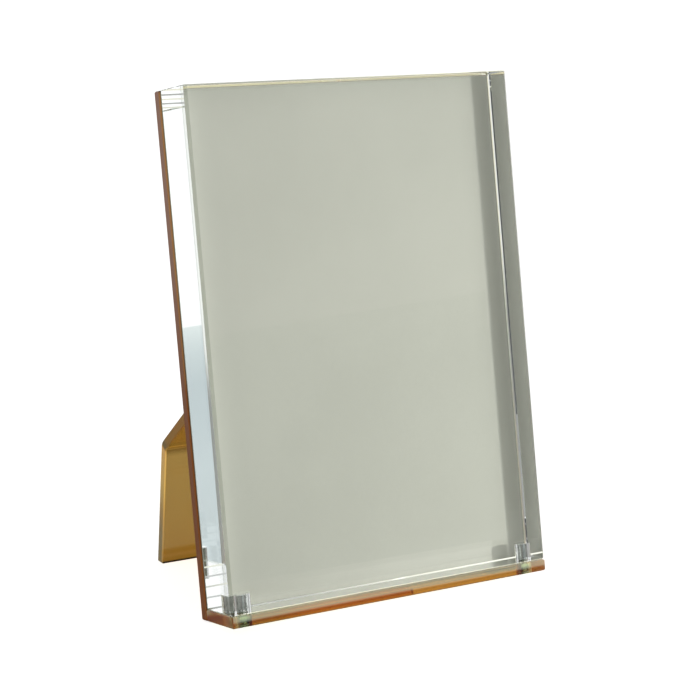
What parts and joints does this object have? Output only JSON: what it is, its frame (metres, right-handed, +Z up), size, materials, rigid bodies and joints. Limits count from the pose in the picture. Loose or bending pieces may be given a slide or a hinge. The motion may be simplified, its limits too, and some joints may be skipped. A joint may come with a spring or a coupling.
{
  "type": "acrylic photo frame",
  "caption": "Free-standing tabletop photo frame: a thick clear acrylic block held by magnets to an amber acrylic L with a bent easel leg.",
  "frame": {"origin": "on the table, at the middle of the footprint", "axes": "+X to the right seen from the front, +Y to the back, +Z up; the frame leans back 10 degrees"},
  "size_m": [0.127, 0.091, 0.1836],
  "materials": {
    "clear_acrylic": "polished clear",
    "amber_acrylic": "polished transparent amber",
    "pale_card": "matt card",
    "nickel": "bright nickel plating"
  },
  "bodies": {
    "stand": {"back_plate": "amber_acrylic", "base_plate": "amber_acrylic", "easel_leg": "amber_acrylic", "base_magnet_left": "nickel", "base_magnet_right": "nickel"},
    "block": {"clear_block": "clear_acrylic", "block_magnet_left": "nickel", "block_magnet_right": "nickel"},
    "photo": {"photo_sheet": "pale_card"}
  },
  "joints": [
    {"name": "block_lift", "type": "slide", "parent": "stand", "child": "block", "axis": [0, 0.1736, 0.9848], "range_m": [0, 0.19]},
    {"name": "sheet_slide", "type": "slide", "parent": "stand", "child": "photo", "axis": [0, 0.1736, 0.9848], "range_m": [0, 0.19]}
  ]
}
